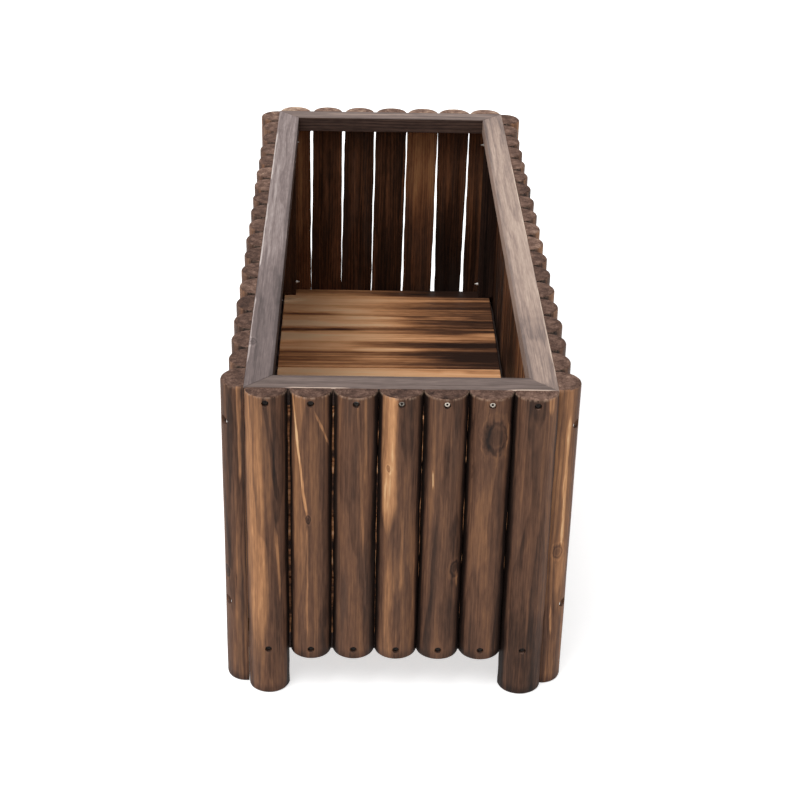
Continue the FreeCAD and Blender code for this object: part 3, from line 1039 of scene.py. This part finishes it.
for index, slat in enumerate(slats):
    sizes = slat_sizes(slat, 1.0 + index * SHAPE_SEED_STEP)
    piece = grown(half_round_slat, slat["name"] + "_wood", sizes)
    drawn = drawn_marks(*wall_streaks_and_light[slat["wall"]])
    put_marks(piece.data, hand_marks.get(slat["name"], drawn), index * GRAIN_SEED_STEP)
    put_wear_light_and_shade(piece.data, slat)
    tie(piece, "slat_wood", slat["node"])
print("slats grown:", len(slats), "faces in the last one:", len(piece.data.polygons))

# %% [markdown]
# ## Rails, posts and floor boards
# These are sawn timber: straight, square and only softened along their edges by sanding. Their shapes in
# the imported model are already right, holes included, so each piece starts as a merged copy of its node. The
# long edges get a narrow bevel, and the grain coordinates are laid along the piece's own fibres.

# %% Soften a copy of a node
LONG_EDGE = 6 * MM
SHARP_EDGE = math.radians(40)
FLAT_EDGE = math.radians(1)
END_FACE = 0.85


def soften(mesh, bevel):
    """Merges a mesh's doubled points and bevels its long sharp edges."""
    timber = bmesh.new()
    timber.from_mesh(mesh)
    bmesh.ops.remove_doubles(timber, verts=timber.verts, dist=WELD)
    bmesh.ops.dissolve_limit(timber, angle_limit=FLAT_EDGE, verts=timber.verts, edges=timber.edges)
    edges = [edge for edge in timber.edges
             if edge.calc_length() > LONG_EDGE and edge.calc_face_angle(0) > SHARP_EDGE]
    bmesh.ops.bevel(
        timber, geom=edges, offset=bevel, segments=2, profile=0.5, affect="EDGES", clamp_overlap=True)
    timber.to_mesh(mesh)
    timber.free()


def lay_grain(mesh, low, high, fibre_axis):
    """Grain coordinates from the middle of a piece: its width, its thickness, and along its fibres."""
    middle = (low + high) / 2
    others = [axis for axis in range(3) if axis != fibre_axis]
    others.sort(key=lambda axis: low[axis] - high[axis])
    grain = mesh.attributes.new("grain", "FLOAT_VECTOR", "POINT")
    for vertex in mesh.vertices:
        local = vertex.co - middle
        grain.data[vertex.index].vector = [local[axis] for axis in (*others, fibre_axis)]
    ends = mesh.attributes.new("sawn_end", "FLOAT", "FACE")
    for face in mesh.polygons:
        ends.data[face.index].value = 1.0 if abs(face.normal[fibre_axis]) > END_FACE else 0.0


def timber_piece(node, fibre_axis, finish, slot, bevel, marks, seed):
    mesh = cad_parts[node].data.copy()
    mesh.name = node + "_wood"
    soften(mesh, bevel)
    lay_grain(mesh, *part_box(node), fibre_axis)
    mesh.materials.clear()
    mesh.materials.append(finish)
    put_marks(mesh, marks, seed)
    piece = bpy.data.objects.new(mesh.name, mesh)
    bpy.context.scene.collection.objects.link(piece)
    tie(piece, slot, node)


print("edges longer than", LONG_EDGE / MM, "mm get a bevel")

# %% Tones and marks of the sawn timber
# Across is measured from the middle of the piece, and along it X or Y from the middle of the box, or the
# height from the middle of a post. A rail's second tone is the lift of its sides. On the rim rails the thin
# pale streaks 12 mm from the middle are painted highlights along an edge, and the widest streak of the left
# and of the right rail is a painted gradient of light along the rail.
timber_marks = {
    "back_left_post": ((0.24, 0.0), NO_KNOT, ((3, 0, 0.14, 100, 320, 3),)),
    "rim_front_rail": ((-0.03, -0.25), NO_KNOT, (
        (-12, 0, 0.5, -110, -38, 1.6), (-12, 0, 0.5, 86, 144, 1.6), (11, 0, -0.12, -300, 300, 3.5))),
    "rim_left_rail": ((-0.03, 0.04), (-10, -287, 4), (
        (0, 0, 0.195, -245, 1000, 62), (11.5, 0, -0.14, -700, 700, 3), (-12, 0, 0.4, -340, -180, 1.4),
        (-12, 0, 0.4, -120, 70, 1.4), (-12, 0, 0.4, 130, 300, 1.4), (-5, 0, 0.1, -200, 200, 2))),
    "rim_right_rail": ((0.18, 0.62), NO_KNOT, (
        (0, 0, 0.14, -310, 380, 40), (-11.5, 0, -0.16, -700, 700, 3),
        (12, 0, 0.3, -360, -150, 1.4), (12, 0, 0.3, -40, 200, 1.4))),
    "rim_back_rail": ((0.08, 0.18), NO_KNOT, (
        (-11, 0, -0.1, -300, 300, 3), (3, 0, 0.12, -90, 40, 3), (-3, 0, -0.1, 20, 130, 4))),
    "floor_board_1": ((0.03, 0.0), NO_KNOT, (
        (-51, 0, 0.55, -230, -60, 14), (-52, 0, 0.26, -170, 40, 12), (-47, 0, -0.14, -5, 300, 15),
        (-32, 0, 0.34, -75, 35, 7), (-20, 0, -0.36, -260, -45, 9), (-11, 0, 0.26, -115, -5, 7),
        (24, 0, 0.34, -260, -80, 18), (-28, 0, 0.26, 40, 115, 6), (46, 0, -0.3, -300, 300, 16),
        (0, 0, 0.3, -400, 60, 200), (0, 0, -0.28, -30, 400, 200))),
    "floor_board_2": ((-0.03, 0.0), NO_KNOT, (
        (27, 0, 0.18, -300, 300, 20), (27, 0, 0.4, -260, -60, 18), (38, 0, 0.3, 80, 260, 8),
        (5, 0, -0.36, -75, 300, 13), (-10, 0, 0.36, -60, 55, 7), (-36, 0, -0.26, -300, 300, 36),
        (-42, 0, 0.08, 10, 300, 12), (-34, 0, 0.22, -60, 95, 13), (47, 0, -0.4, -260, -20, 8),
        (0, 0, 0.24, -400, 60, 200), (0, 0, -0.28, -20, 400, 200))),
    "floor_board_3": ((-0.02, 0.0), NO_KNOT, (
        (46, 0, 0.5, -500, 500, 50), (46, 0, 0.14, -115, -75, 9), (46, 0, 0.14, 58, 100, 9),
        (30, 0, -0.1, -240, 240, 10), (-6, 0, -0.3, -300, 60, 12), (-20, 0, -0.3, -40, 300, 12),
        (-34, 0, 0.3, -180, 120, 10), (-50, 0, -0.34, -300, 300, 9),
        (0, 0, 0.14, -400, 60, 200), (0, 0, -0.22, -50, 400, 200))),
}


def drawn_timber_marks(half_width, half_length, lift, count, gains):
    """Marks for sawn timber that the photograph doesn't show."""
    streaks = []
    for _ in range(count):
        low = random.uniform(-1.6 * half_length, half_length / 2)
        length = random.uniform(0.7, 2.0) * half_length
        place = random.uniform(-half_width, half_width)
        gain = random.choice(gains)
        width = random.uniform(0.15, 0.3) * half_width
        streaks.append((place, random.uniform(-0.04, 0.04), gain, low, low + length, width))
    return (lift, 0.0), NO_KNOT, streaks


print("sawn pieces marked by hand:", len(timber_marks))

# %% Make the sawn timber
X_AXIS, Y_AXIS, Z_AXIS = range(3)
sanded_edge = 0.8 * MM
board_edge = 1.2 * MM
TIMBER_SEED_STEP = 6.7


def make_timber(nodes, finish, slot, bevel, lift, fibre_axis, seed, count=3, gains=(0.25, 0.15, -0.2)):
    """All the pieces of one kind of timber. The fibres run along the given axis of the frame."""
    for number, node in enumerate(nodes):
        low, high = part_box(node)
        _, width, length = sorted((high - low) / MM)
        drawn = drawn_timber_marks(width / 2, length / 2, lift, count, gains)
        marks = timber_marks.get(node, drawn)
        timber_piece(node, fibre_axis, finish, slot, bevel, marks, seed + number * TIMBER_SEED_STEP)


RAILS = {
    "front": (warm_sheen_rail_wood, X_AXIS, 3.1), "back": (warm_sheen_rail_wood, X_AXIS, 9.8),
    "left": (grey_sheen_rail_wood, Y_AXIS, 31.9), "right": (warm_sheen_rail_wood, Y_AXIS, 38.6)}
for wall, (finish, axis, seed) in RAILS.items():
    pair = ("rim_" + wall + "_rail", "lower_" + wall + "_rail")
    make_timber(pair, finish, "rail_wood", sanded_edge, lift=-0.1, fibre_axis=axis, seed=seed)
posts = [corner + "_post" for corner in ("front_left", "front_right", "back_left", "back_right")]
boards = sorted(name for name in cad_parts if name.startswith("floor_board_"))
make_timber(posts, post_wood, "post_wood", sanded_edge, lift=0.0, fibre_axis=Z_AXIS, seed=50.5)
make_timber(
    boards, floor_wood, "floor_wood", board_edge, lift=-0.05, fibre_axis=X_AXIS, seed=80.7, count=9,
    gains=(0.4, 0.3, -0.3, -0.4))
print("rails, posts and boards:", 2 * len(RAILS), len(posts), len(boards))

# %% [markdown]
# ## Nails and screws
# The nails are plain wire nails, blackened by the flame, and a few have a bright ring on the head, partly
# steel scraped by the punch and partly a painted glint. The corner screws are zinc plated, with a domed head,
# a cross recess and a thread whose point comes out of the post, and their colour is painted near white,
# partly the plate's own colour and partly its glints. One nail and one screw are built once as trees and set
# on points, so a hundred nails cost one description.

# %% Steel finish
STAINS_PER_METRE = 420.0
SCRATCHES_PER_METRE = 1900.0


def steel_finish(name, dark, bright, roughness, metallic):
    """Plated or flame-blackened steel with stains and fine scratches, and a bright ring on the rim of a head
    that is partly scraped steel and partly a painted glint.
    """
    finish, shader = new_finish(name)
    tree = finish.node_tree
    shader.inputs["Metallic"].default_value = metallic
    place = add(tree, "ShaderNodeTexCoord", output="Object")
    sockets = {"Vector": place, "Scale": STAINS_PER_METRE, "Detail": 4.0}
    stain = add(tree, "ShaderNodeTexNoise", sockets, "Fac")
    sockets = {"Vector": place, "Scale": SCRATCHES_PER_METRE, "Detail": 3.0}
    scratch = add(tree, "ShaderNodeTexNoise", sockets, "Fac")
    rim = eased(piece_attribute(tree, "rim", "Fac"), 0.3, 0.55)
    share = piece_attribute(tree, "scrape_and_glint", "Fac") * rim + centred(stain, 0.9) + centred(scratch, 0.4)
    feed(shader, "Base Color", blended(eased(share, 0.1, 0.9), paint(*dark), paint(*bright)))
    feed(shader, "Roughness", roughness + centred(stain, 0.5))
    emboss(shader, scratch, 0.3, 0.1 * MM)
    return finish


nail_steel = steel_finish(
    "flamed_nail_steel", dark=(34, 29, 27), bright=(222, 212, 198), roughness=0.5, metallic=0.8)
# The screws are painted near white, partly the zinc plate's own colour and partly its glints.
screw_glint_steel = steel_finish(
    "zinc_screw_glint_steel", dark=(236, 233, 228), bright=(253, 252, 249), roughness=0.28, metallic=0.3)
print("steel finishes:", nail_steel.name, screw_glint_steel.name)

# %% Parts of a nail or a screw
FASTENER_SOCKETS = {
    **dict.fromkeys(("Head radius", "Head height", "Shank radius", "Length", "Point"), "Float"),
    "Finish": "Material"}
TIP_RADIUS = 0.05 * MM
STEEL_CREASE = 35
# The shank reaches this share of the head's height into the head.
SHANK_IN_HEAD = 0.3


def lifted(geometry, height):
    sockets = {"Geometry": geometry, "Translation": joined(geometry.tree, 0.0, 0.0, height)}
    return add(geometry.tree, "GeometryNodeTransform", sockets)


def turned_length(start, end, start_radius, end_radius, sides):
    """A round length along Z, straight or tapering."""
    cone = add(start.tree, "GeometryNodeMeshCone", {
        "Vertices": sides, "Radius Bottom": start_radius, "Radius Top": end_radius, "Depth": end - start})
    return lifted(cone, start)


def fastener_body(size, sides, head):
    """Head, shank and point of a nail or a screw as one, with the head's underside at zero.
    The head's outline is pairs of height and radius, as shares of the head's, from its face down."""
    shank = size["Shank radius"]
    neck = size["Length"] - size["Point"]
    steps = [(size["Head height"] * -tall, size["Head radius"] * wide) for tall, wide in head]
    parts = [turned_length(start, end, start_radius, end_radius, sides)
             for (start, start_radius), (end, end_radius) in zip(steps, steps[1:])]
    parts.append(turned_length(size["Head height"] * -SHANK_IN_HEAD, neck, shank, shank, sides))
    parts.append(turned_length(neck, size["Length"], shank, TIP_RADIUS, sides))
    union = new_node(shank.tree, "GeometryNodeMeshBoolean", operation="UNION", solver="MANIFOLD")
    for part in reversed(parts):
        shank.tree.links.new(part.socket, union.inputs["Mesh 2"])
    return Wire(shank.tree, union.outputs["Mesh"])


def set_on_points(size, part):
    """One copy of a fastener on each point, aimed by the point's own angles."""
    tree = part.tree
    sockets = {"Name": "aim"}
    aim = add(tree, "GeometryNodeInputNamedAttribute", sockets, "Attribute", data_type="FLOAT_VECTOR")
    turn = add(tree, "FunctionNodeEulerToRotation", {"Euler": aim})
    placed = add(tree, "GeometryNodeInstanceOnPoints", {
        "Points": size["Geometry"], "Instance": smooth_but_sharp(part, STEEL_CREASE), "Rotation": turn})
    end_tree(placed, size["Finish"])


print("inputs of a fastener's tree:", list(FASTENER_SOCKETS))

# %% Nail and screw trees
NAIL_SIDES = 12
PUNCH_SIDES = 8
SCREW_SIDES = 28
RIDGE_SIDES = 3
POINTS_PER_TURN = 18
FLAT_HEAD = ((1.0, 0.86), (0.7, 1.0), (0.0, 1.0))
DOMED_HEAD = ((1.0, 0.5), (0.92, 0.72), (0.75, 0.9), (0.5, 1.0), (0.0, 1.0))
SCREW_NUMBERS = ("Thread height", "Thread pitch", "Recess length", "Recess width", "Recess depth")
smooth_neck = 2 * MM


def nail_tree():
    tree, size = start_tree("wire_nail", FASTENER_SOCKETS)
    height, radius = size["Head height"], size["Head radius"]
    punch = turned_length(height * -1.0 - 0.2 * MM, height * -0.5, radius * 0.55, 0.1 * MM, PUNCH_SIDES)
    punched = cut(fastener_body(size, NAIL_SIDES, FLAT_HEAD), punch)
    x, y, _ = split(add(tree, "GeometryNodeInputPosition"))
    set_on_points(size, store(punched, "rim", maths("SQRT", x * x + y * y) / radius, "FLOAT"))
    return tree


def thread(size, start, height, end_radius):
    """A ridge that winds round the shank, up to a radius at its end."""
    tree = height.tree
    spiral = add(tree, "GeometryNodeCurveSpiral", {
        "Resolution": POINTS_PER_TURN, "Rotations": height / size["Thread pitch"],
        "Start Radius": size["Shank radius"], "End Radius": end_radius, "Height": height})
    sockets = {"Resolution": RIDGE_SIDES, "Radius": size["Thread height"]}
    ridge = add(tree, "GeometryNodeCurvePrimitiveCircle", sockets, mode="RADIUS")
    return add(tree, "GeometryNodeCurveToMesh", {
        "Curve": lifted(spiral, start), "Profile Curve": ridge, "Fill Caps": True})


def screw_tree():
    sockets = {**FASTENER_SOCKETS, **dict.fromkeys(SCREW_NUMBERS, "Float")}
    tree, size = start_tree("cross_recess_screw", sockets)
    body = fastener_body(size, SCREW_SIDES, DOMED_HEAD)
    for wide, tall in (("Recess length", "Recess width"), ("Recess width", "Recess length")):
        block = joined(tree, size[wide], size[tall], size["Recess depth"] * 2.0)
        bar = add(tree, "GeometryNodeMeshCube", {"Size": block})
        body = cut(body, lifted(bar, size["Head height"] * -1.0))
    run = size["Length"] - size["Point"]
    straight = thread(size, smooth_neck, run - smooth_neck, size["Shank radius"])
    tapering = thread(size, run, size["Point"] * 0.85, 0.3 * MM)
    whole = new_node(tree, "GeometryNodeJoinGeometry")
    for part in (body, straight, tapering):
        tree.links.new(part.socket, whole.inputs[0])
    set_on_points(size, Wire(tree, whole.outputs[0]))
    return tree


wire_nail = nail_tree()
cross_screw = screw_tree()
print("nodes in the nail's and the screw's tree:", len(wire_nail.nodes), len(cross_screw.nodes))

# %% Set the nails and screws
# How bright the ring on the upper nail's head of these slats is: partly scraped steel, partly a painted
# glint.
scraped_glinting_nails = {"front_slat_04": 0.95, "front_slat_05": 0.65, "front_slat_03": 0.4, "front_slat_02": 0.2}
point_length = 4 * MM
screw_shank_radius = 1.7 * MM


def scrape_and_glint_of(node, wall, across):
    """How bright the ring on a nail's head is: steel scraped by the punch and a painted glint."""
    for slat in slats:
        here = slat["wall"] == wall and abs(across - slat["across"]) < slat_width / 2
        if here and node == "upper_slat_nails":
            return scraped_glinting_nails.get(slat["name"], 0.0)
    return 0.0


def fastener_points(name, node, head_height):
    """A mesh with a point at each fastener's seat, the angles that aim it and how bright the ring on its head
    is, from scraped steel and a painted glint.
    """
    places, aims, scrape_and_glint = [], [], []
    for low, high in fasteners[node]:
        size = high - low
        middle = (low + high) / 2
        if size.z > max(size.x, size.y):
            places.append((middle.x, middle.y, low.z + head_height))
            aims.extend((0.0, 0.0, 0.0))
            scrape_and_glint.append(0.0)
        else:
            wall = facing_wall(low, high)
            front, back = to_front(wall, low, high)
            seat = (front + back) / 2
            seat.y = front.y + head_height
            places.append(turned(TURNS[wall]) @ seat)
            aims.extend((-math.pi / 2, 0.0, math.radians(TURNS[wall])))
            scrape_and_glint.append(scrape_and_glint_of(node, wall, seat.x))
    mesh = bpy.data.meshes.new(name)
    mesh.from_pydata(places, [], [])
    mesh.attributes.new("aim", "FLOAT_VECTOR", "POINT").data.foreach_set("vector", aims)
    mesh.attributes.new("scrape_and_glint", "FLOAT", "POINT").data.foreach_set("value", scrape_and_glint)
    return mesh


def set_fasteners(tree, node, head_height, shank_radius, finish, more_sizes):
    """One piece with all the fasteners of a node."""
    low, high = fasteners[node][0]
    thickness, _, length = sorted(high - low)
    sizes = {
        "Head radius": thickness / 2, "Head height": head_height, "Shank radius": shank_radius,
        "Length": length - head_height, "Point": point_length, "Finish": finish, **more_sizes}
    piece = grown(tree, node + "_steel", sizes, fastener_points(node + "_points", node, head_height))
    tie(piece, "steel", node)
    print(node, "faces:", len(piece.data.polygons))


for node in NAIL_NODES:
    set_fasteners(wire_nail, node, nail_head_height, nail_shank_radius, nail_steel, {})
thread_and_recess = {
    "Thread height": 0.55 * MM, "Thread pitch": 1.8 * MM, "Recess length": 5 * MM, "Recess width": 1.2 * MM,
    "Recess depth": 1.6 * MM}
set_fasteners(
    cross_screw, "corner_screws", screw_head_height, screw_shank_radius, screw_glint_steel, thread_and_recess)

# %% [markdown]
# ## Floor, light and camera
# A pale floor carries the shadow, and one wide soft lamp from the upper left with an even sky does the rest.
# The sky and floor turn white only for what the camera and mirrors see, so the white background takes no
# extra light on the wood. The camera stands where the photograph was taken from.

# %% Floor and light
FLOOR_REACH = 15.0
FLOOR_GLOW = 0.6
SKY_LIGHT = 0.55
WHITE = (1, 1, 1, 1)


def seen(tree):
    """1 for what the camera and mirrors see, and 0 for light on its way to the wood."""
    path = new_node(tree, "ShaderNodeLightPath").outputs
    straight, glossy, through = [
        Wire(tree, path["Is " + kind + " Ray"]) for kind in ("Camera", "Glossy", "Transmission")]
    return maths("MAXIMUM", maths("MAXIMUM", straight, glossy), through)


def stage_floor():
    mesh = bpy.data.meshes.new("studio_floor")
    corners = [(x * FLOOR_REACH, y * FLOOR_REACH, 0) for x, y in ((-1, -1), (1, -1), (1, 1), (-1, 1))]
    mesh.from_pydata(corners, [], [(0, 1, 2, 3)])
    floor = bpy.data.objects.new("studio_floor", mesh)
    bpy.context.scene.collection.objects.link(floor)
    finish, shader = new_finish("studio_floor_paint")
    shader.inputs["Base Color"].default_value = (0.86, 0.86, 0.86, 1)
    shader.inputs["Roughness"].default_value = 0.9
    shader.inputs["Emission Color"].default_value = WHITE
    feed(shader, "Emission Strength", seen(finish.node_tree) * FLOOR_GLOW)
    mesh.materials.append(finish)


def studio_sky():
    world = bpy.data.worlds.new("studio_sky")
    bpy.context.scene.world = world
    world.use_nodes = True
    background = world.node_tree.nodes["Background"]
    background.inputs["Color"].default_value = WHITE
    sockets = {"Value": seen(world.node_tree), "To Min": SKY_LIGHT, "To Max": 1.0}
    feed(background, "Strength", add(world.node_tree, "ShaderNodeMapRange", sockets))


def soft_lamp(name, direction, strength, spread):
    """A sun lamp that shines from a direction, with a wide disc for soft shadows."""
    lamp = bpy.data.lights.new(name, "SUN")
    lamp.energy = strength
    lamp.angle = math.radians(spread)
    holder = bpy.data.objects.new(name, lamp)
    holder.rotation_euler = Vector(direction).to_track_quat("Z", "Y").to_euler()
    bpy.context.scene.collection.objects.link(holder)
    print(name, "shines from", direction)


stage_floor()
studio_sky()
soft_lamp("key_lamp", direction=(-0.4, -0.3, 0.87), strength=1.8, spread=45)

# %% Camera
camera_data = bpy.data.cameras.new("photo_camera")
camera_data.sensor_width = 36.0
camera_data.lens = 79.55
camera = bpy.data.objects.new("photo_camera", camera_data)
bpy.context.scene.collection.objects.link(camera)
yaw, pitch, roll = 0.02931, -0.48415, 0.02517
forward = Vector((math.sin(yaw) * math.cos(pitch), math.cos(yaw) * math.cos(pitch), math.sin(pitch)))
level_right = Vector((math.cos(yaw), -math.sin(yaw), 0))
level_up = level_right.cross(forward)
right = math.cos(roll) * level_right + math.sin(roll) * level_up
up = math.cos(roll) * level_up - math.sin(roll) * level_right
stand = Matrix((right, up, -forward)).transposed().to_4x4()
stand.translation = (-0.04191, -1.76606, 1.03833)
camera.matrix_world = stand
bpy.context.scene.camera = camera
bpy.context.scene.view_settings.view_transform = "Standard"
print("camera at:", [round(v, 3) for v in stand.translation])
